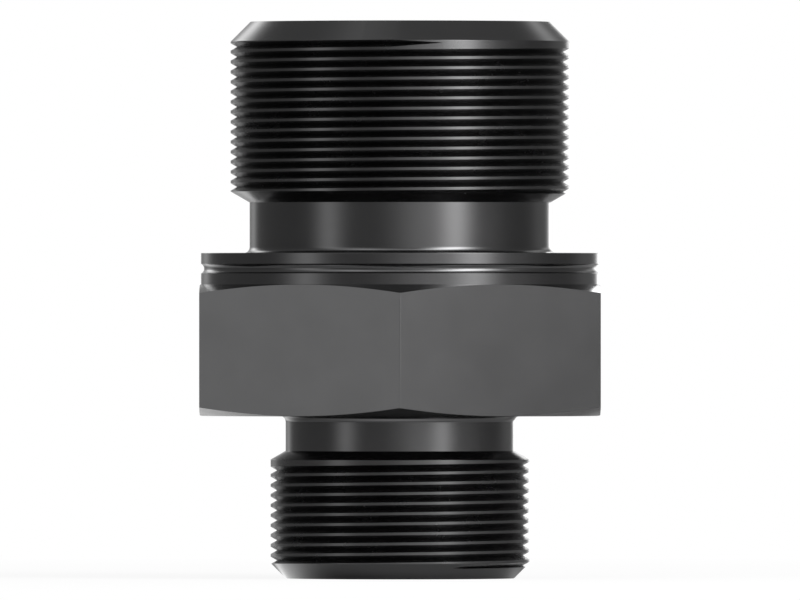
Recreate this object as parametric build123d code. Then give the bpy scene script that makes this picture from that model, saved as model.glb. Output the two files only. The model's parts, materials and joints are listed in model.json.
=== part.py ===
from build123d import *
import os
from math import radians, tan

# Straight adapter fitting, turned and milled from one steel bar.
# Millimetres. The origin is the centre of the small end's face, the axis runs up
# along +Z to the large end, and +X is normal to one flat of the hexagon.

# Hexagon
across_flats = 80.0
hexagon_length = 26.3
hexagon_chamfer_angle = 15.0

# Collar between the hexagon and the large end, with a groove round its rim
collar_setback = 0.2
collar_length = 6.3
groove_depth = 0.61
groove_root_width = 0.85
groove_wall_angle = 40.0

# Large end, thread M68 x 2
upper_thread_nominal = 68.0
upper_stud_length = 46.2
upper_end_chamfer = 3.95
upper_neck_relief = 3.8
upper_neck_length = 10.1

# Small end, thread M52 x 2
lower_thread_nominal = 52.0
lower_stud_length = 32.5
lower_end_chamfer = 3.07
lower_neck_relief = 3.0
lower_neck_length = 7.0

# Both ends: a cut thread is this much under its nominal diameter
thread_allowance = 0.25
thread_back_angle = 30.0
neck_fillet_radius = 1.0

# Passage through the fitting, with a seat cone in each end face
bore_diameter = 32.0
seat_cone_angle = 60.0
upper_seat_depth = 10.0
lower_seat_depth = 5.0

# Heights of the shoulders and of the upper face
hexagon_base = lower_stud_length
collar_base = hexagon_base + hexagon_length
collar_top = collar_base + collar_length
total_length = collar_top + upper_stud_length

collar_radius = across_flats / 2 - collar_setback
upper_neck_radius = (upper_thread_nominal - thread_allowance) / 2 - upper_neck_relief
lower_neck_radius = (lower_thread_nominal - thread_allowance) / 2 - lower_neck_relief


def turned(*outline):
    """Turn a solid about Z from the corners of its half section, given as (radius, height)."""
    half_section = make_face(Polyline(*outline, close=True))
    return revolve(Plane.XZ * half_section, Axis.Z)


def threaded_end(nominal, length, end_chamfer, neck_relief, neck_length):
    """One end standing on its shoulder at z = 0: neck, sloped back of the thread, crest and end chamfer."""
    crest_radius = (nominal - thread_allowance) / 2
    neck_radius = crest_radius - neck_relief
    thread_back = neck_length + neck_relief * tan(radians(thread_back_angle))
    return turned(
        (0, 0),
        (neck_radius, 0),
        (neck_radius, neck_length),
        (crest_radius, thread_back),
        (crest_radius, length - end_chamfer),
        (crest_radius - end_chamfer, length),
        (0, length),
    )


def hexagon():
    """Hexagon from z = 0 up, with its corners turned off at both ends down to the flats."""
    apothem = across_flats / 2
    slope = tan(radians(hexagon_chamfer_angle))
    corner_reach = across_flats - apothem
    prism = extrude(RegularPolygon(apothem, 6, major_radius=False, rotation=30), hexagon_length)
    corner_turning = turned(
        (0, 0),
        (apothem, 0),
        (apothem + corner_reach, corner_reach * slope),
        (apothem + corner_reach, hexagon_length - corner_reach * slope),
        (apothem, hexagon_length),
        (0, hexagon_length),
    )
    return prism & corner_turning


def collar():
    """Collar from z = 0 up, with a groove half way up its rim whose walls slope out from a narrow root."""
    root_radius = collar_radius - groove_depth
    groove_middle = collar_length / 2
    root_half_width = groove_root_width / 2
    rim_half_width = root_half_width + groove_depth * tan(radians(groove_wall_angle))
    return turned(
        (0, 0),
        (collar_radius, 0),
        (collar_radius, groove_middle - rim_half_width),
        (root_radius, groove_middle - root_half_width),
        (root_radius, groove_middle + root_half_width),
        (collar_radius, groove_middle + rim_half_width),
        (collar_radius, collar_length),
        (0, collar_length),
    )


def passage():
    """Through bore with a cone opening out to each end face."""
    bore_radius = bore_diameter / 2
    spread = tan(radians(seat_cone_angle / 2))
    return turned(
        (0, 0),
        (bore_radius + lower_seat_depth * spread, 0),
        (bore_radius, lower_seat_depth),
        (bore_radius, total_length - upper_seat_depth),
        (bore_radius + upper_seat_depth * spread, total_length),
        (0, total_length),
    )


def shoulder_edge(body, radius, height):
    """The circle where a neck of this radius meets its shoulder at this height."""
    circles = body.edges().filter_by(GeomType.CIRCLE)
    return circles.sort_by(lambda edge: abs(edge.radius - radius) + abs(edge.center().Z - height))[0]


def adapter_body():
    """The whole fitting, one solid."""
    lower_end = threaded_end(
        lower_thread_nominal, lower_stud_length, lower_end_chamfer, lower_neck_relief, lower_neck_length
    )
    upper_end = threaded_end(
        upper_thread_nominal, upper_stud_length, upper_end_chamfer, upper_neck_relief, upper_neck_length
    )
    body = Pos(0, 0, hexagon_base) * mirror(lower_end, Plane.XY)
    body += Pos(0, 0, hexagon_base) * hexagon()
    body += Pos(0, 0, collar_base) * collar()
    body += Pos(0, 0, collar_top) * upper_end
    body = fillet(shoulder_edge(body, lower_neck_radius, hexagon_base), neck_fillet_radius)
    body = fillet(shoulder_edge(body, upper_neck_radius, collar_top), neck_fillet_radius)
    return body - passage()


os.makedirs("parts", exist_ok=True)
export_step(adapter_body(), "parts/adapter_body.step")
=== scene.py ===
"""Dresses the straight adapter fitting for its picture: body, finishes, studio and camera, in metres."""

import json
import logging
from dataclasses import dataclass
from enum import Enum
from math import asin, atan2, ceil, cos, degrees, floor, pi, radians, sin, sqrt, tan
from typing import Iterable, Optional

import bpy
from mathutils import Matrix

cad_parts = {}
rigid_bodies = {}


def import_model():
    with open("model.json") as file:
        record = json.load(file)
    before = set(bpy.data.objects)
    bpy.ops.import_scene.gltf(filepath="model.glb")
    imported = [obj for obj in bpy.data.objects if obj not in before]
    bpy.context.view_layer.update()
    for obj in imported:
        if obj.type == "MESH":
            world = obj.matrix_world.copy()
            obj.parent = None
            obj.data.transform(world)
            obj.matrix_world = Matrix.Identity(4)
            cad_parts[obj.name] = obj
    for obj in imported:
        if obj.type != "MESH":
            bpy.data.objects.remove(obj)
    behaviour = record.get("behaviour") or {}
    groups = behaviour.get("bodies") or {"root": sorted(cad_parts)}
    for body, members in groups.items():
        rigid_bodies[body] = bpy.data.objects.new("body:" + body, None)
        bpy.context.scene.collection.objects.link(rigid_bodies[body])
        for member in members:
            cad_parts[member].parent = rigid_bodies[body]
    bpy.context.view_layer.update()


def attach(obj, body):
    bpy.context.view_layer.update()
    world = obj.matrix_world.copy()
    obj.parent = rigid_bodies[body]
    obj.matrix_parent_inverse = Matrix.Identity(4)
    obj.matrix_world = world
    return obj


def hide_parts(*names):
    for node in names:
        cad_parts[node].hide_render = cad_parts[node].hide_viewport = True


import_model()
log = logging.getLogger("adapter")

# Sizes of the fitting are written in millimetres, as on the drawing, and meshes are made in metres.
MM = 0.001
PIECE_NAME = "adapter_body_dressed"
CAD_NODE = "adapter_body"

# The hexagon's sides, the degrees about the axis that one of them spans, and the half of that
HEXAGON_SIDES = 6
SIDE_DEGREES = 360.0 / HEXAGON_SIDES
HALF_SIDE_DEGREES = SIDE_DEGREES / 2

# Arcs at rounded corners: the most that a facet turns, the fewest facets, and the distance of
# the extra points that keep the surfaces beside an arc flat in shading
FACET_DEGREES = 16.0
FEWEST_FACETS = 2
SUPPORT_DISTANCE = 0.03

# Columns round a vertical edge of the hexagon, in shares of the half angle that its rounding spans
EDGE_COLUMN_SHARES = (-1.5, -1.0, -0.5, 0.0, 0.5, 1.0, 1.5)

# Decimals that the columns' angles are rounded to
ANGLE_DECIMALS = 6

# Turn at which the upper thread's helix is below its stud's shoulder. A thread that starts there
# isn't faded at its start, and its groove runs out over the slope behind it.
BELOW_THE_SHOULDER = -9000.0

# Noise: how rough it is, and the two values near its middle that are stretched to a range's ends
NOISE_ROUGHNESS = 0.5
NOISE_LOW = 0.3
NOISE_HIGH = 0.7

# Clouds of a finish: the shares and detail of its coarse and fine noise, and how many times finer
# than the coarse noise the fine one and the one for roughness are
CLOUD_SHARE = 0.7
FINE_SHARE = 0.3
CLOUD_DETAIL = 3.0
FINE_DETAIL = 4.0
FINE_SCALE = 9.0
ROUGHNESS_SCALE = 2.3

# Tool lines and grain: their detail, the grain's features to the metre, and the scale along each
# axis that draws the lines' noise out level round the fitting
MARK_DETAIL = 2.0
GRAIN_SCALE = 9000.0
LINE_SQUEEZE = (0.02, 0.02, 1.0)

# How much stronger blue is than red and green in the steel
COOL_BLUE = 1.012

# Inputs of a Mix node for plain numbers
MIX_FACTOR, MIX_FIRST, MIX_SECOND = 0, 2, 3

WHITE = (1.0, 1.0, 1.0, 1.0)


class Zone(Enum):
    """The differently finished zones of the steel, numbered as their material slots."""

    TURNED = 0
    THREAD = 1
    MILLED = 2
    BORED = 3


@dataclass(frozen=True)
class Corner:
    """A corner of the half section, with the radius that it is rounded to and the zone that starts there."""

    radius: float
    height: float
    name: str
    zone: Zone
    rounding: float = 0.0


@dataclass(frozen=True)
class OutlinePoint:
    """A point of one column's outline. Points of the same name are joined round the fitting."""

    radius: float
    height: float
    name: str
    zone: Zone


def arc(before: Corner, corner: Corner, after: Corner) -> list[OutlinePoint]:
    """Rounds one corner of a half section.

    Args:
        before: the corner before it.
        corner: the corner to round.
        after: the corner after it.

    Returns:
        The points of the arc, with a support point before and after them.
    """
    into = atan2(corner.height - before.height, corner.radius - before.radius)
    away = atan2(after.height - corner.height, after.radius - corner.radius)
    turn = (away - into + pi) % (2 * pi) - pi
    side = 1.0 if turn > 0 else -1.0
    reach = corner.rounding * tan(abs(turn) / 2)
    start_radius = corner.radius - reach * cos(into)
    start_height = corner.height - reach * sin(into)
    centre_radius = start_radius - side * corner.rounding * sin(into)
    centre_height = start_height + side * corner.rounding * cos(into)
    lead_radius = start_radius - SUPPORT_DISTANCE * cos(into)
    lead_height = start_height - SUPPORT_DISTANCE * sin(into)
    points = [OutlinePoint(lead_radius, lead_height, corner.name + "_lead", before.zone)]
    steps = max(FEWEST_FACETS, ceil(degrees(abs(turn)) / FACET_DEGREES))
    for step in range(steps + 1):
        heading = into + turn * step / steps
        points.append(
            OutlinePoint(
                centre_radius + side * corner.rounding * sin(heading),
                centre_height - side * corner.rounding * cos(heading),
                f"{corner.name}_{step}",
                before.zone if 2 * step < steps else corner.zone,
            )
        )
    tail_radius = points[-1].radius + SUPPORT_DISTANCE * cos(away)
    tail_height = points[-1].height + SUPPORT_DISTANCE * sin(away)
    points.append(OutlinePoint(tail_radius, tail_height, corner.name + "_tail", corner.zone))
    return points


def rounded(corners: list[Corner]) -> list[OutlinePoint]:
    """Turns the corners of a half section into its outline, with each rounded corner as an arc.

    Args:
        corners: the corners in order; the outline closes from the last to the first.

    Returns:
        The points of the outline, in the same order.
    """
    outline = []
    for index, corner in enumerate(corners):
        if corner.rounding == 0.0:
            outline.append(OutlinePoint(corner.radius, corner.height, corner.name, corner.zone))
        else:
            after = corners[(index + 1) % len(corners)]
            outline.extend(arc(corners[index - 1], corner, after))
    return outline


def radius_on(part: list[OutlinePoint], height: float) -> float:
    """Finds the radius of a stretch of outline at one height.

    Args:
        part: the points of the stretch, in rising order.
        height: the height.

    Returns:
        The radius there, or that of the last point where the stretch doesn't reach.
    """
    for lower, upper in zip(part, part[1:]):
        if lower.height <= height <= upper.height and upper.height > lower.height:
            share = (height - lower.height) / (upper.height - lower.height)
            return lower.radius + share * (upper.radius - lower.radius)
    return part[-1].radius


@dataclass(frozen=True)
class ThreadGroove:
    """The helical groove of a right-handed thread, cut from a crest radius inwards.

    The groove's walls are followed out to wall_overshoot past the crests, and a cut shallower
    than least_depth is left out.
    """

    name: str
    crest_radius: float
    height_at_right: float
    lowest: float
    highest: float
    start_turn: float
    end_turn: float
    pitch: float = 2.0
    depth: float = 1.27
    flank_degrees: float = 30.0
    fade_degrees: float = 18.0
    least_depth: float = 0.02
    wall_overshoot: float = 0.5

    @property
    def carved_parts(self) -> tuple[str, ...]:
        """How the names of the outline points begin that the groove may cut between."""
        return tuple(self.name + part for part in ("_neck", "_back", "_front", "_face", "_groove"))

    def depth_at(self, turn: float) -> float:
        """Finds the depth of the groove, which fades to nothing at both ends of the thread.

        Args:
            turn: turn along the helix in degrees.

        Returns:
            The depth there.
        """
        within = min(self.end_turn - turn, turn - self.start_turn)
        share = min(1.0, max(0.0, within / self.fade_degrees))
        return self.depth * share

    def rounds(self) -> range:
        """Numbers the rounds of the helix that can meet the fitting.

        Returns:
            The numbers, where round 0 starts at height_at_right.
        """
        first = floor((self.lowest - self.height_at_right) / self.pitch) - 1
        last = ceil((self.highest - self.height_at_right) / self.pitch)
        return range(first, last + 1)

    def carve(self, outline: list[OutlinePoint], angle: float) -> list[OutlinePoint]:
        """Cuts this thread's rounds into one column of the outline.

        Args:
            outline: the column before, whose heights rise all along this thread.
            angle: the column's angle about the axis in degrees, from +X towards +Y.

        Returns:
            The column with the groove's corners in place of what was cut away.
        """
        for number in self.rounds():
            turn = angle + 360.0 * number
            depth = self.depth_at(turn)
            if depth > self.least_depth:
                height = self.height_at_right + self.pitch * turn / 360.0
                outline = self.carve_round(outline, number, height, depth)
        return outline

    def carve_round(
        self, outline: list[OutlinePoint], number: int, height: float, depth: float
    ) -> list[OutlinePoint]:
        """Cuts one round of the groove into a column.

        Args:
            outline: the column before.
            number: the round's number, which names its corners.
            height: height of the middle of the groove.
            depth: depth of the groove under the crest.

        Returns:
            The column with this round cut into it.
        """
        steepness = 1.0 / tan(radians(self.flank_degrees))
        root_radius = self.crest_radius - depth
        half_mouth = (depth + self.wall_overshoot) / steepness
        bottom, top = height - half_mouth, height + half_mouth
        span = [i for i, p in enumerate(outline) if p.name.startswith(self.carved_parts)]
        below = [i for i in span if outline[i].height <= bottom]
        above = [i for i in span if outline[i].height >= top]
        first = below[-1] if below else span[0]
        last = above[0] if above else span[-1]
        part = outline[first : last + 1]
        levels = sorted({bottom, height, top} | {p.height for p in part if bottom < p.height < top})
        levels = [level for level in levels if part[0].height <= level <= part[-1].height]
        walls = [root_radius + abs(level - height) * steepness for level in levels]
        gaps = [radius_on(part, level) - wall for level, wall in zip(levels, walls)]
        cuts = []
        for low, high, low_gap, high_gap in zip(levels, levels[1:], gaps, gaps[1:]):
            if (low_gap > 0.0) != (high_gap > 0.0):
                cuts.append(low + (high - low) * low_gap / (low_gap - high_gap))
        if len(cuts) < 2:
            return outline
        name = f"{self.name}_groove{number}"
        mouth = [
            OutlinePoint(radius_on(part, cuts[0]), cuts[0], name + "_in", Zone.THREAD),
            OutlinePoint(root_radius, height, name + "_root", Zone.THREAD),
            OutlinePoint(radius_on(part, cuts[1]), cuts[1], name + "_out", Zone.THREAD),
        ]
        kept_below = [p for p in part if p.height <= cuts[0]]
        kept_above = [p for p in part if p.height >= cuts[1]]
        return outline[:first] + kept_below + mouth + kept_above + outline[last + 1 :]


@dataclass(frozen=True)
class ThreadedEnd:
    """A threaded stud: the neck behind its thread, the sloped back, the crest, the chamfer and the face."""

    name: str
    nominal: float
    length: float
    end_chamfer: float
    neck_relief: float
    neck_length: float
    neck_fillet: float
    height_at_right: float
    start_turn: float
    end_turn: float
    allowance: float = 0.25
    back_degrees: float = 30.0
    edge_rounding: float = 0.07

    @property
    def crest_radius(self) -> float:
        """Radius over the thread's crests."""
        return (self.nominal - self.allowance) / 2

    @property
    def neck_radius(self) -> float:
        """Radius of the neck."""
        return self.crest_radius - self.neck_relief

    def corners(self, seat_radius: float) -> list[Corner]:
        """Lists the corners from the shoulder to the seat cone's mouth, with heights from the shoulder.

        Args:
            seat_radius: radius of the seat cone's mouth in the end face.

        Returns:
            The corners in order, away from the shoulder.
        """
        back = self.neck_length + self.neck_relief * tan(radians(self.back_degrees))
        front = self.length - self.end_chamfer
        face_radius = self.crest_radius - self.end_chamfer
        edge = self.edge_rounding
        return [
            Corner(self.neck_radius, 0.0, self.name + "_shoulder", Zone.TURNED, self.neck_fillet),
            Corner(self.neck_radius, self.neck_length, self.name + "_neck", Zone.TURNED),
            Corner(self.crest_radius, back, self.name + "_back", Zone.TURNED, edge),
            Corner(self.crest_radius, front, self.name + "_front", Zone.TURNED, edge),
            Corner(face_radius, self.length, self.name + "_face", Zone.TURNED, edge),
            Corner(seat_radius, self.length, self.name + "_mouth", Zone.BORED, edge),
        ]

    def groove(self, shoulder: float, upwards: bool) -> ThreadGroove:
        """Places the thread's groove in the fitting's own heights.

        Args:
            shoulder: height of the shoulder that the stud stands on.
            upwards: True for the stud that points up.

        Returns:
            The groove, ready to carve columns.
        """
        far = shoulder + self.length if upwards else shoulder - self.length
        return ThreadGroove(
            name=self.name,
            crest_radius=self.crest_radius,
            height_at_right=self.height_at_right,
            lowest=min(shoulder, far),
            highest=max(shoulder, far),
            start_turn=self.start_turn,
            end_turn=self.end_turn,
        )


UPPER_END = ThreadedEnd(
    name="upper",
    nominal=68.0,
    length=46.25,
    end_chamfer=3.95,
    neck_relief=3.8,
    neck_length=10.1,
    neck_fillet=1.2,
    height_at_right=105.26,
    start_turn=BELOW_THE_SHOULDER,
    end_turn=285.0,
)
LOWER_END = ThreadedEnd(
    name="lower",
    nominal=52.0,
    length=32.5,
    end_chamfer=3.07,
    neck_relief=3.0,
    neck_length=7.0,
    neck_fillet=1.2,
    height_at_right=22.6,
    start_turn=-3677.0,
    end_turn=112.0,
)


@dataclass(frozen=True)
class Hexagon:
    """The spanner hexagon, its corners turned off at both ends down to the flats."""

    across_flats: float = 80.0
    length: float = 26.3
    chamfer_degrees: float = 15.0
    corner_rounding: float = 0.15
    rim_setback: float = 0.3
    rim_rounding: float = 0.06

    @property
    def apothem(self) -> float:
        """Distance of a flat from the axis."""
        return self.across_flats / 2

    @property
    def arc_distance(self) -> float:
        """Distance from the axis to the centre of a vertical edge's rounding."""
        return (self.apothem - self.corner_rounding) / cos(radians(HALF_SIDE_DEGREES))

    @property
    def half_arc(self) -> float:
        """Half of the angle about the axis that a vertical edge's rounding spans, in radians."""
        across = self.corner_rounding * sin(radians(HALF_SIDE_DEGREES))
        return atan2(across, self.arc_distance + self.corner_rounding * cos(radians(HALF_SIDE_DEGREES)))

    def radius_at(self, angle: float) -> float:
        """Finds how far the hexagon's side is from the axis, with its vertical edges rounded.

        Args:
            angle: angle about the axis in degrees.

        Returns:
            The distance at that angle.
        """
        off_flat = (angle + HALF_SIDE_DEGREES) % SIDE_DEGREES - HALF_SIDE_DEGREES
        off_corner = radians(HALF_SIDE_DEGREES - abs(off_flat))
        if off_corner >= self.half_arc:
            return self.apothem / cos(radians(off_flat))
        across = self.arc_distance * sin(off_corner)
        return self.arc_distance * cos(off_corner) + sqrt(self.corner_rounding**2 - across**2)

    def corner_columns(self) -> list[float]:
        """Angles from a vertical edge, in degrees, at which its rounding needs columns."""
        return [share * degrees(self.half_arc) for share in EDGE_COLUMN_SHARES]

    def fall_at(self, radius: float) -> float:
        """How far the turned cone has dropped from the hexagon's end face at this radius."""
        return (radius - self.apothem + self.rim_setback) * tan(radians(self.chamfer_degrees))

    def corners(self, angle: float, base: float) -> list[Corner]:
        """Lists the corners of the hexagon's side at one angle.

        Args:
            angle: the column's angle in degrees.
            base: height of the hexagon's lower face.

        Returns:
            The corners from the lower rim to the upper edge of the flat.
        """
        side = self.radius_at(angle)
        fall = self.fall_at(side)
        rim = self.apothem - self.rim_setback
        return [
            Corner(rim, base, "hexagon_lower_rim", Zone.TURNED, self.rim_rounding),
            Corner(side, base + fall, "hexagon_lower_edge", Zone.MILLED),
            Corner(side, base + self.length - fall, "hexagon_upper_edge", Zone.TURNED),
        ]


@dataclass(frozen=True)
class Collar:
    """The turned collar above the hexagon, with a round-bottomed groove half way up its rim."""

    radius: float = 39.8
    length: float = 6.25
    groove_radius: float = 1.07
    groove_depth: float = 0.61
    groove_facets: int = 10
    edge_rounding: float = 0.08

    def corners(self, base: float, sunk: float) -> list[Corner]:
        """Lists the corners of the collar from its foot to its top edge.

        Args:
            base: height of the hexagon's upper face.
            sunk: how far under that face the hexagon's cone meets the collar.

        Returns:
            The corners in order, upwards.
        """
        middle = base + self.length / 2
        centre = self.radius - self.groove_depth + self.groove_radius
        half_mouth = sqrt(self.groove_radius**2 - (centre - self.radius) ** 2)
        spread = asin(half_mouth / self.groove_radius)
        corners = [Corner(self.radius, base - sunk, "collar_foot", Zone.TURNED)]
        for step in range(self.groove_facets + 1):
            heading = spread * (2 * step / self.groove_facets - 1)
            radius = centre - self.groove_radius * cos(heading)
            height = middle + self.groove_radius * sin(heading)
            corners.append(Corner(radius, height, f"collar_groove_{step}", Zone.TURNED))
        top = base + self.length
        corners.append(Corner(self.radius, top, "collar_top", Zone.TURNED, self.edge_rounding))
        return corners


@dataclass(frozen=True)
class Passage:
    """The bore right through the fitting, with a seat cone in each end face."""

    radius: float = 16.0
    cone_degrees: float = 60.0
    upper_seat: float = 10.0
    lower_seat: float = 5.0
    edge_rounding: float = 0.1

    def mouth_radius(self, seat_depth: float) -> float:
        """Radius at which a seat cone of this depth meets its end face."""
        return self.radius + seat_depth * tan(radians(self.cone_degrees / 2))

    def corners(self, total: float) -> list[Corner]:
        """Lists the corners inside the fitting, downwards.

        Args:
            total: height of the upper face.

        Returns:
            The corner where each cone meets the bore.
        """
        return [
            Corner(self.radius, total - self.upper_seat, "bore_top", Zone.BORED, self.edge_rounding),
            Corner(self.radius, self.lower_seat, "bore_bottom", Zone.BORED, self.edge_rounding),
        ]


class Bench:
    """Lays out shader nodes and joins them."""

    def __init__(self, tree: bpy.types.NodeTree) -> None:
        """Starts with an empty node tree.

        Args:
            tree: the node tree of a material, a lamp or the world.
        """
        tree.nodes.clear()
        self.tree = tree

    def node(self, kind: str, settings: Optional[dict] = None, **inputs: object) -> bpy.types.Node:
        """Adds a node.

        Args:
            kind: the node's Blender type.
            settings: properties of the node itself.
            **inputs: a value, or a socket to join, for each input, named with _ for a space.

        Returns:
            The new node.
        """
        made = self.tree.nodes.new(kind)
        for name, value in (settings or {}).items():
            setattr(made, name, value)
        for name, value in inputs.items():
            self.feed(made.inputs[name.replace("_", " ")], value)
        return made

    def feed(self, socket: bpy.types.NodeSocket, value: object) -> None:
        """Joins a socket to an input, or sets the input's own value.

        Args:
            socket: the input.
            value: the socket to join to it, or its new value.
        """
        if isinstance(value, bpy.types.NodeSocket):
            self.tree.links.new(value, socket)
        else:
            socket.default_value = value

    def math(self, operation: str, *values: object) -> bpy.types.NodeSocket:
        """Adds a Math node.

        Args:
            operation: the Math node's operation.
            *values: a number or socket for each of its inputs.

        Returns:
            The node's result.
        """
        made = self.tree.nodes.new("ShaderNodeMath")
        made.operation = operation
        for socket, value in zip(made.inputs, values):
            self.feed(socket, value)
        return made.outputs[0]

    def noise(self, place: bpy.types.NodeSocket, scale: float, detail: float) -> bpy.types.NodeSocket:
        """Lays out noise.

        Args:
            place: the place that the noise is wanted for.
            scale: its features to the metre.
            detail: how many finer layers are added to it.

        Returns:
            A number between 0 and 1.
        """
        made = self.node(
            "ShaderNodeTexNoise", Vector=place, Scale=scale, Detail=detail, Roughness=NOISE_ROUGHNESS
        )
        return made.outputs["Fac"]

    def remapped(
        self, value: object, from_low: float, from_high: float, to_low: float, to_high: float
    ) -> bpy.types.NodeSocket:
        """Maps one range of numbers onto another, and holds what lies outside to its ends.

        Args:
            value: the number or socket to map.
            from_low: where the first range starts.
            from_high: where the first range ends.
            to_low: what from_low becomes.
            to_high: what from_high becomes.

        Returns:
            The mapped number.
        """
        made = self.node(
            "ShaderNodeMapRange",
            Value=value,
            From_Min=from_low,
            From_Max=from_high,
            To_Min=to_low,
            To_Max=to_high,
        )
        return made.outputs["Result"]

    def stretched(self, noise: bpy.types.NodeSocket, low: float, high: float) -> bpy.types.NodeSocket:
        """Spreads noise, which keeps near its middle, over the range from low to high."""
        return self.remapped(noise, NOISE_LOW, NOISE_HIGH, low, high)

    def bell(self, across: object, upright: object) -> bpy.types.NodeSocket:
        """Lays out a bell curve in two directions.

        Args:
            across: distance from the middle in one direction, in half widths.
            upright: distance from the middle in the other direction, in half heights.

        Returns:
            The curve's height, 1 in the middle.
        """
        off = self.math("ADD", self.math("POWER", across, 2.0), self.math("POWER", upright, 2.0))
        return self.math("EXPONENT", self.math("MULTIPLY", off, -1.0))

    def azimuth(self, parts: bpy.types.Node) -> bpy.types.NodeSocket:
        """Azimuth in degrees of a vector's parts, 0 towards the camera's side and rising to the right."""
        toward = self.math("MULTIPLY", parts.outputs["Y"], -1.0)
        return self.math("DEGREES", self.math("ARCTAN2", parts.outputs["X"], toward))


@dataclass(frozen=True)
class SteelFinish:
    """Black oxide steel as one way of cutting leaves it.

    Scales are in features to the metre and depths in millimetres. The tone's spread is a share
    of the tone, and the roughness's spread is added to it and taken off it.
    """

    name: str
    tone: float
    tone_spread: float
    roughness: float
    roughness_spread: float
    cloud_scale: float
    line_scale: float
    line_depth: float
    grain_depth: float

    def material(self) -> bpy.types.Material:
        """Builds the finish.

        Returns:
            A material with clouded tone, uneven roughness, tool lines and a fine grain.
        """
        made = bpy.data.materials.new(self.name)
        made.use_nodes = True
        bench = Bench(made.node_tree)
        place = bench.node("ShaderNodeTexCoord").outputs["Object"]
        shader = bench.node(
            "ShaderNodeBsdfPrincipled",
            Base_Color=self.colour(bench, place),
            Metallic=1.0,
            Roughness=self.unevenness(bench, place),
            Normal=self.tool_marks(bench, place),
        )
        bench.node("ShaderNodeOutputMaterial", Surface=shader.outputs["BSDF"])
        return made

    def colour(self, bench: Bench, place: bpy.types.NodeSocket) -> bpy.types.NodeSocket:
        """Lays out the clouded tone, a trace bluer than grey.

        Args:
            bench: where the nodes go.
            place: the place on the steel.

        Returns:
            The colour.
        """
        clouds = bench.noise(place, self.cloud_scale, CLOUD_DETAIL)
        fine = bench.noise(place, self.cloud_scale * FINE_SCALE, FINE_DETAIL)
        mixed = bench.math("MULTIPLY_ADD", fine, FINE_SHARE, bench.math("MULTIPLY", clouds, CLOUD_SHARE))
        low = self.tone * (1.0 - self.tone_spread)
        high = self.tone * (1.0 + self.tone_spread)
        tone = bench.stretched(mixed, low, high)
        cool = bench.math("MULTIPLY", tone, COOL_BLUE)
        return bench.node("ShaderNodeCombineColor", Red=tone, Green=tone, Blue=cool).outputs["Color"]

    def unevenness(self, bench: Bench, place: bpy.types.NodeSocket) -> bpy.types.NodeSocket:
        """Lays out the roughness, which changes gently from place to place.

        Args:
            bench: where the nodes go.
            place: the place on the steel.

        Returns:
            The roughness.
        """
        noise = bench.noise(place, self.cloud_scale * ROUGHNESS_SCALE, CLOUD_DETAIL)
        low = self.roughness - self.roughness_spread
        high = self.roughness + self.roughness_spread
        return bench.stretched(noise, low, high)

    def tool_marks(self, bench: Bench, place: bpy.types.NodeSocket) -> bpy.types.NodeSocket:
        """Lays out level tool lines and a fine grain.

        Args:
            bench: where the nodes go.
            place: the place on the steel.

        Returns:
            The surface's direction, bent by lines and grain.
        """
        squeezed = bench.node(
            "ShaderNodeMapping", {"vector_type": "POINT"}, Vector=place, Scale=LINE_SQUEEZE
        ).outputs["Vector"]
        lines = bench.noise(squeezed, self.line_scale, MARK_DETAIL)
        grain = bench.noise(place, GRAIN_SCALE, MARK_DETAIL)
        grain_height = bench.math("MULTIPLY", grain, self.grain_depth * MM)
        relief = bench.math("MULTIPLY_ADD", lines, self.line_depth * MM, grain_height)
        return bench.node("ShaderNodeBump", Strength=1.0, Distance=1.0, Height=relief).outputs["Normal"]


FINISHES: dict[Zone, SteelFinish] = {
    Zone.TURNED: SteelFinish(
        name="turned_black_steel",
        tone=0.105,
        tone_spread=0.03,
        roughness=0.2,
        roughness_spread=0.02,
        cloud_scale=60.0,
        line_scale=4500.0,
        line_depth=0.0008,
        grain_depth=0.0001,
    ),
    Zone.THREAD: SteelFinish(
        name="threaded_black_steel",
        tone=0.10,
        tone_spread=0.05,
        roughness=0.25,
        roughness_spread=0.03,
        cloud_scale=90.0,
        line_scale=9000.0,
        line_depth=0.0002,
        grain_depth=0.0001,
    ),
    Zone.MILLED: SteelFinish(
        name="milled_black_steel",
        tone=0.122,
        tone_spread=0.03,
        roughness=0.19,
        roughness_spread=0.02,
        cloud_scale=45.0,
        line_scale=5000.0,
        line_depth=0.0002,
        grain_depth=0.0001,
    ),
    Zone.BORED: SteelFinish(
        name="bored_black_steel",
        tone=0.10,
        tone_spread=0.06,
        roughness=0.28,
        roughness_spread=0.04,
        cloud_scale=60.0,
        line_scale=4000.0,
        line_depth=0.0004,
        grain_depth=0.0002,
    ),
}


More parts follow.
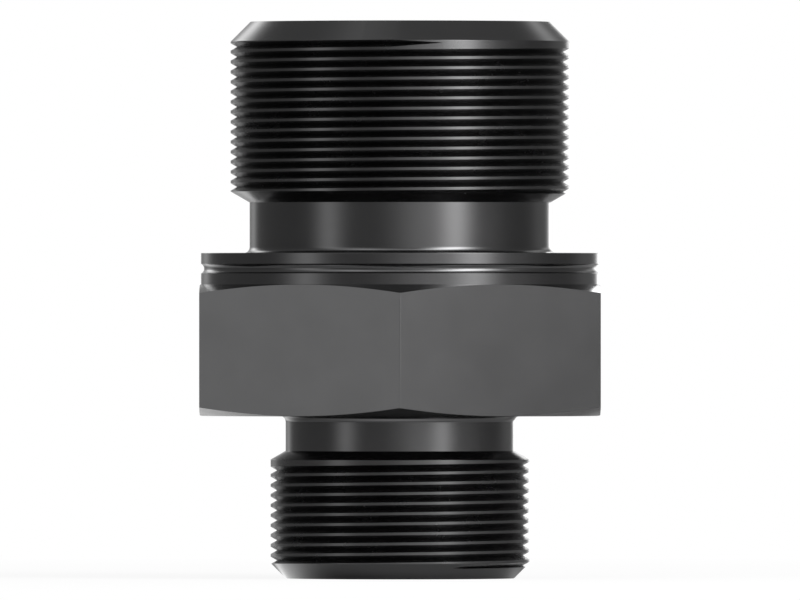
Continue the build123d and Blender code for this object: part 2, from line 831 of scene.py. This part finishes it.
@dataclass
class AdapterBody:
    """The whole fitting as one turned and milled piece of steel."""

    upper: ThreadedEnd = UPPER_END
    lower: ThreadedEnd = LOWER_END
    hexagon: Hexagon = Hexagon()
    collar: Collar = Collar()
    passage: Passage = Passage()
    column_count: int = 360
    sharp_degrees: float = 37.0

    @property
    def collar_base(self) -> float:
        """Height of the collar's foot."""
        return self.lower.length + self.hexagon.length

    @property
    def collar_top(self) -> float:
        """Height of the collar's upper face."""
        return self.collar_base + self.collar.length

    @property
    def total(self) -> float:
        """Height of the whole fitting."""
        return self.collar_top + self.upper.length

    def column_angles(self) -> list[float]:
        """Chooses the columns' angles, with more of them round the hexagon's vertical edges.

        Returns:
            The angles in degrees, in rising order.
        """
        step = 360.0 / self.column_count
        angles = set()
        for corner in range(HEXAGON_SIDES):
            for offset in self.hexagon.corner_columns():
                middle = HALF_SIDE_DEGREES + SIDE_DEGREES * corner
                angles.add(round(middle + offset, ANGLE_DECIMALS))
        for number in range(self.column_count):
            angle = round(number * step, ANGLE_DECIMALS)
            if abs((angle % SIDE_DEGREES) - HALF_SIDE_DEGREES) > step / 2:
                angles.add(angle)
        return sorted(angles)

    def column(self, angle: float) -> list[OutlinePoint]:
        """Works out the fitting's outline at one angle.

        Args:
            angle: the column's angle in degrees, from 0 to 360.

        Returns:
            The closed outline, up the outside and down the bore.
        """
        shoulder = self.lower.length
        lower_mouth = self.passage.mouth_radius(self.passage.lower_seat)
        upper_mouth = self.passage.mouth_radius(self.passage.upper_seat)
        lower = [
            Corner(c.radius, shoulder - c.height, c.name, Zone.TURNED, c.rounding)
            for c in reversed(self.lower.corners(lower_mouth))
        ]
        upper = [
            Corner(c.radius, self.collar_top + c.height, c.name, c.zone, c.rounding)
            for c in self.upper.corners(upper_mouth)
        ]
        sunk = self.hexagon.fall_at(self.collar.radius)
        middle = self.hexagon.corners(angle, shoulder) + self.collar.corners(self.collar_base, sunk)
        outline = rounded(lower + middle + upper + self.passage.corners(self.total))
        outline = self.lower.groove(shoulder, False).carve(outline, angle)
        return self.upper.groove(self.collar_top, True).carve(outline, angle)

    def build(self) -> bpy.types.Object:
        """Makes the body's mesh from its columns and dresses it.

        Returns:
            The finished piece, riding on the fitting's body.
        """
        angles = self.column_angles()
        columns = [self.column(angle) for angle in angles]
        vertices: list[tuple[float, float, float]] = []
        numbers: list[list[int]] = []
        for angle, column in zip(angles, columns):
            numbers.append(list(range(len(vertices), len(vertices) + len(column))))
            across, along = cos(radians(angle)) * MM, sin(radians(angle)) * MM
            vertices.extend((p.radius * across, p.radius * along, p.height * MM) for p in column)
        columns.append(self.column(angles[0] + 360.0))
        numbers.append(numbers[0])
        faces: list[tuple[int, ...]] = []
        zones: list[int] = []
        for index in range(len(angles)):
            here, there = columns[index], columns[index + 1]
            for face, zone in self.strip(here, numbers[index], there, numbers[index + 1]):
                faces.append(face)
                zones.append(zone.value)
        mesh = bpy.data.meshes.new(PIECE_NAME)
        mesh.from_pydata(vertices, [], faces)
        mesh.polygons.foreach_set("material_index", zones)
        mesh.polygons.foreach_set("use_smooth", [True] * len(faces))
        mesh.update()
        mesh.set_sharp_from_angle(angle=radians(self.sharp_degrees))
        piece = bpy.data.objects.new(PIECE_NAME, mesh)
        bpy.context.scene.collection.objects.link(piece)
        self.dress(piece)
        log.info("adapter body: %d columns, %d points, %d faces", len(angles), len(vertices), len(faces))
        return piece

    @staticmethod
    def strip(
        here: list[OutlinePoint],
        here_numbers: list[int],
        there: list[OutlinePoint],
        there_numbers: list[int],
    ) -> Iterable[tuple[tuple[int, ...], Zone]]:
        """Joins two columns by their points of the same name, and fills in between with triangles.

        Args:
            here: the column at the smaller angle.
            here_numbers: vertex numbers of that column.
            there: the next column.
            there_numbers: vertex numbers of the next column.

        Yields:
            Each face's vertex numbers and its zone.
        """
        there_places = {point.name: place for place, point in enumerate(there)}
        shared = [(i, there_places[p.name]) for i, p in enumerate(here) if p.name in there_places]
        ends = shared[1:] + [(shared[0][0] + len(here), shared[0][1] + len(there))]
        for (i, j), (i_end, j_end) in zip(shared, ends):
            while i < i_end or j < j_end:
                a, b = here_numbers[i % len(here)], there_numbers[j % len(there)]
                here_next = (i + 1) % len(here)
                there_next = (j + 1) % len(there)
                next_a, next_b = here_numbers[here_next], there_numbers[there_next]
                if i_end - i == 1 and j_end - j == 1:
                    yield (a, b, next_b, next_a), here[i % len(here)].zone
                    break
                here_is_lower = here[here_next].height <= there[there_next].height
                if j == j_end or (i < i_end and here_is_lower):
                    yield (a, b, next_a), here[i % len(here)].zone
                    i += 1
                else:
                    yield (a, b, next_b), there[j % len(there)].zone
                    j += 1

    def dress(self, piece: bpy.types.Object) -> None:
        """Gives the piece its finishes, hangs it on the fitting's body and hides the CAD part that it stands
        in for.

        Args:
            piece: the mesh object of the body.
        """
        for zone in Zone:
            piece.data.materials.append(FINISHES[zone].material())
        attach(piece, "root")
        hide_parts(CAD_NODE)


@dataclass(frozen=True)
class SoftLight:
    """A soft patch, placed by its azimuth and a second measure: light on the walls, and painted glow and
    painted shade on the floor.

    Azimuth and half width are in degrees, with azimuth 0 towards the camera's side and rising to
    the right. On the walls the second measure and the half height are elevations in degrees. On
    the floor, for its painted glowing patches and its painted shade, they are distances from the
    axis in millimetres.
    """

    azimuth: float
    elevation_or_distance: float
    half_width: float
    half_height: float
    strength: float

    def brightness(
        self, bench: Bench, azimuth: bpy.types.NodeSocket, measure: bpy.types.NodeSocket
    ) -> bpy.types.NodeSocket:
        """Adds this patch's nodes.

        Args:
            bench: where the nodes go.
            azimuth: azimuth of the point that is looked at, in degrees.
            measure: its elevation or distance, as the patch has it.

        Returns:
            The patch's brightness there.
        """
        off = bench.math("SUBTRACT", azimuth, self.azimuth)
        off = bench.math("WRAP", off, 180.0, -180.0)
        lift = bench.math("SUBTRACT", measure, self.elevation_or_distance)
        across = bench.math("DIVIDE", off, self.half_width)
        upright = bench.math("DIVIDE", lift, self.half_height)
        return bench.math("MULTIPLY", bench.bell(across, upright), self.strength)


@dataclass(frozen=True)
class SoftBox:
    """A soft box near the fitting, brightest in its middle, turned to face it. Lengths are in metres.

    The lamp is spread times as wide and high as the half width and half height of its bell curve.
    """

    azimuth: float
    elevation: float
    distance: float
    half_width: float
    half_height: float
    radiance: float
    aim_height: float = 0.05
    spread: float = 4.0

    def build(self, name: str) -> bpy.types.Object:
        """Makes the soft box.

        Args:
            name: the lamp's name.

        Returns:
            The lamp.
        """
        lamp = bpy.data.lights.new(name, "AREA")
        lamp.shape = "RECTANGLE"
        lamp.size = self.spread * self.half_width
        lamp.size_y = self.spread * self.half_height
        lamp.energy = pi * lamp.size * lamp.size_y
        lamp.use_nodes = True
        bench = Bench(lamp.node_tree)
        place = bench.node("ShaderNodeNewGeometry").outputs["Parametric"]
        parts = bench.node("ShaderNodeSeparateXYZ", Vector=place)
        middle = 0.5
        across = bench.math("MULTIPLY", bench.math("SUBTRACT", parts.outputs["X"], middle), self.spread)
        upright = bench.math("MULTIPLY", bench.math("SUBTRACT", parts.outputs["Y"], middle), self.spread)
        strength = bench.math("MULTIPLY", bench.bell(across, upright), self.radiance)
        glow = bench.node("ShaderNodeEmission", Color=WHITE, Strength=strength)
        bench.node("ShaderNodeOutputLight", Surface=glow.outputs[0])
        box = bpy.data.objects.new(name, lamp)
        turn, lift = radians(self.azimuth), radians(self.elevation)
        box.location = (
            self.distance * sin(turn) * cos(lift),
            -self.distance * cos(turn) * cos(lift),
            self.aim_height + self.distance * sin(lift),
        )
        box.rotation_euler = (radians(90.0) - lift, 0.0, turn)
        box.visible_camera = False
        bpy.context.scene.collection.objects.link(box)
        return box


def summed(
    bench: Bench,
    patches: Iterable[SoftLight],
    azimuth: bpy.types.NodeSocket,
    measure: bpy.types.NodeSocket,
    level: object,
) -> object:
    """Adds the brightness of soft patches to a level.

    Args:
        bench: where the nodes go.
        patches: the patches.
        azimuth: azimuth of the point that is looked at, in degrees.
        measure: its elevation or distance, as the patches have it.
        level: the number or socket to start from.

    Returns:
        The brightness there.
    """
    for patch in patches:
        level = bench.math("ADD", patch.brightness(bench, azimuth, measure), level)
    return level


@dataclass
class Studio:
    """The pale floor and the softly lit room round the fitting. Lengths are in metres.

    The lights shine on everything, and the backdrop shows in reflections only. In reflections the
    floor's paper is covered with painted shade, by the share painted_shade_share and by more of it at
    painted_shade_patch, and that painted shade is dark but for the painted_floor_glows, painted glowing
    patches that stand in for bright surroundings in the reflections. To the camera the paper is covered
    with white, by the share floor_seen near the fitting and wholly towards the rim. This change
    lies between whitening_start and whitening_end, which are shares of the floor's radius.
    """

    room_level: float = 0.22
    background: float = 1.0
    floor_radius: float = 0.5
    floor_height: float = -0.00002
    floor_sides: int = 96
    floor_tone: float = 0.95
    floor_seen: float = 0.9
    whitening_start: float = 0.2
    whitening_end: float = 0.9
    # In reflections the floor is covered with painted shade, thicker in a patch behind on the right
    painted_shade_share: float = 0.48
    painted_shade_patch: SoftLight = SoftLight(152.0, 113.0, 25.0, 45.0, 0.35)
    # Painted glowing patches on the floor, seen in reflections only, standing in for bright surroundings
    painted_floor_glows: tuple[SoftLight, ...] = (
        SoftLight(-72.0, 25.0, 22.0, 12.0, 2.2),
        SoftLight(-94.0, 25.0, 12.0, 12.0, 2.6),
        SoftLight(80.0, 25.0, 12.0, 12.0, 0.4),
        SoftLight(0.0, 60.0, 50.0, 16.0, 2.2),
        SoftLight(-150.0, 230.0, 20.0, 170.0, 2.1),
    )
    lights: tuple[SoftLight, ...] = (
        SoftLight(68.0, 8.0, 19.0, 30.0, 0.26),
        SoftLight(-10.0, 0.0, 50.0, 30.0, 0.04),
        SoftLight(-35.0, 45.0, 14.0, 20.0, 0.9),
        SoftLight(-103.0, 77.0, 70.0, 10.0, 0.3),
        SoftLight(-56.5, 12.0, 10.5, 30.0, 1.12),
        SoftLight(0.0, 52.0, 70.0, 16.0, 1.0),
        SoftLight(0.0, 90.0, 900.0, 35.0, 0.1),
    )
    key: SoftBox = SoftBox(
        azimuth=43.0, elevation=30.0, distance=0.7, half_width=0.149, half_height=0.3, radiance=11.0
    )
    fill: SoftBox = SoftBox(
        azimuth=24.0, elevation=8.0, distance=0.7, half_width=0.33, half_height=0.2, radiance=0.93
    )
    backdrop: tuple[SoftLight, ...] = (
        SoftLight(169.0, 0.0, 8.0, 5.0, 2.6),
        SoftLight(132.0, 0.0, 10.0, 12.0, 0.13),
        SoftLight(152.0, 9.0, 6.0, 5.0, 0.6),
        SoftLight(175.0, 17.0, 3.0, 9.0, 4.0),
        SoftLight(152.0, 28.0, 6.0, 9.0, 0.9),
        SoftLight(-160.0, 21.0, 8.0, 11.0, 2.1),
        SoftLight(-152.0, 0.0, 7.0, 15.0, 0.5),
        SoftLight(-177.0, 0.0, 6.0, 9.0, 0.7),
        SoftLight(-154.0, 10.0, 6.0, 4.5, 2.2),
    )

    def build(self) -> None:
        """Makes the world, the floor and the two soft boxes."""
        self.build_world()
        self.build_floor()
        self.key.build("key_soft_box")
        self.fill.build("fill_soft_box")
        log.info("studio: %d soft lights, floor %.1f m across", len(self.lights), 2 * self.floor_radius)

    def build_world(self) -> None:
        """Makes the world: soft lights on plain walls, and white where the camera looks."""
        world = bpy.data.worlds.new("studio")
        bpy.context.scene.world = world
        world.use_nodes = True
        bench = Bench(world.node_tree)
        direction = bench.node("ShaderNodeTexCoord").outputs["Generated"]
        parts = bench.node("ShaderNodeSeparateXYZ", Vector=direction)
        azimuth = bench.azimuth(parts)
        elevation = bench.math("DEGREES", bench.math("ARCSINE", parts.outputs["Z"]))
        level = summed(bench, self.lights, azimuth, elevation, self.room_level)
        behind = summed(bench, self.backdrop, azimuth, elevation, 0.0)
        path = bench.node("ShaderNodeLightPath")
        level = bench.math("MULTIPLY_ADD", path.outputs["Is Glossy Ray"], behind, level)
        through = path.outputs["Is Transmission Ray"]
        seen = bench.math("MAXIMUM", path.outputs["Is Camera Ray"], through)
        shown = bench.node("ShaderNodeMix", {"data_type": "FLOAT"})
        bench.feed(shown.inputs[MIX_FACTOR], seen)
        bench.feed(shown.inputs[MIX_FIRST], level)
        bench.feed(shown.inputs[MIX_SECOND], self.background)
        lamp = bench.node("ShaderNodeBackground", Color=WHITE, Strength=shown.outputs[0])
        bench.node("ShaderNodeOutputWorld", Surface=lamp.outputs["Background"])

    def build_floor(self) -> None:
        """Makes the pale floor under the fitting."""
        corners = []
        for step in range(self.floor_sides):
            turn = radians(step * 360.0 / self.floor_sides)
            corners.append((self.floor_radius * cos(turn), self.floor_radius * sin(turn), self.floor_height))
        mesh = bpy.data.meshes.new("studio_floor")
        mesh.from_pydata(corners, [], [tuple(range(len(corners)))])
        mesh.materials.append(self.floor_material())
        floor_piece = bpy.data.objects.new("studio_floor", mesh)
        bpy.context.scene.collection.objects.link(floor_piece)

    def floor_material(self) -> bpy.types.Material:
        """Builds the floor's look.

        Returns:
            Pale paper that takes shadows, covered in reflections with painted shade and painted
            glowing patches, and with a white rim for the camera.
        """
        made = bpy.data.materials.new("pale_floor")
        made.use_nodes = True
        bench = Bench(made.node_tree)
        tone = (self.floor_tone, self.floor_tone, self.floor_tone, 1.0)
        paper = bench.node("ShaderNodeBsdfDiffuse", Color=tone)
        place = bench.node("ShaderNodeTexCoord").outputs["Object"]
        parts = bench.node("ShaderNodeSeparateXYZ", Vector=place)
        azimuth = bench.azimuth(parts)
        squared = bench.math("MULTIPLY", parts.outputs["X"], parts.outputs["X"])
        squared = bench.math("MULTIPLY_ADD", parts.outputs["Y"], parts.outputs["Y"], squared)
        distance = bench.math("DIVIDE", bench.math("SQRT", squared), MM)
        # Painted glowing patches on the floor, for reflections only
        painted_glow = summed(bench, self.painted_floor_glows, azimuth, distance, 0.0)
        # The share of painted shade that covers the floor in reflections
        painted_shade_cover = summed(bench, [self.painted_shade_patch], azimuth, distance, self.painted_shade_share)
        path = bench.node("ShaderNodeLightPath")
        glossy, camera = path.outputs["Is Glossy Ray"], path.outputs["Is Camera Ray"]
        whitening = bench.remapped(
            distance,
            self.whitening_start * self.floor_radius / MM,
            self.whitening_end * self.floor_radius / MM,
            self.floor_seen,
            1.0,
        )
        seen_level = bench.math("MULTIPLY", camera, self.background)
        level = bench.math("MULTIPLY_ADD", glossy, painted_glow, seen_level)
        glow = bench.node("ShaderNodeEmission", Color=WHITE, Strength=level)
        seen_share = bench.math("MULTIPLY", camera, whitening)
        covered = bench.math("MAXIMUM", seen_share, bench.math("MULTIPLY", glossy, painted_shade_cover))
        mixed = bench.node("ShaderNodeMixShader")
        for socket, value in zip(mixed.inputs, (covered, paper.outputs[0], glow.outputs[0])):
            bench.feed(socket, value)
        bench.node("ShaderNodeOutputMaterial", Surface=mixed.outputs[0])
        return made


@dataclass(frozen=True)
class LongLensCamera:
    """The level camera in front of the fitting, far off behind a long lens.

    The near and far clips are shares of its distance.
    """

    lens: float = 1260.0
    sensor: float = 36.0
    picture_width: int = 800
    pixels_per_mm: float = 5.0
    aim_height: float = 55.66
    near_clip: float = 0.5
    far_clip: float = 10.0

    def build(self) -> bpy.types.Object:
        """Makes the camera and hands it to the scene.

        Returns:
            The camera.
        """
        data = bpy.data.cameras.new("long_lens")
        data.lens = self.lens
        data.sensor_width = self.sensor
        distance = self.lens * self.picture_width / (self.sensor * self.pixels_per_mm) * MM
        data.clip_start = distance * self.near_clip
        data.clip_end = distance * self.far_clip
        camera = bpy.data.objects.new("long_lens", data)
        camera.location = (0.0, -distance, self.aim_height * MM)
        camera.rotation_euler = (radians(90.0), 0.0, 0.0)
        bpy.context.scene.collection.objects.link(camera)
        bpy.context.scene.camera = camera
        log.info("camera: %.3f m in front of the axis", distance)
        return camera


def main() -> None:
    logging.basicConfig(level=logging.INFO, format="%(name)s: %(message)s")
    bpy.context.scene.view_settings.view_transform = "Standard"
    LongLensCamera().build()
    AdapterBody().build()
    Studio().build()


if __name__ == "__main__":
    main()
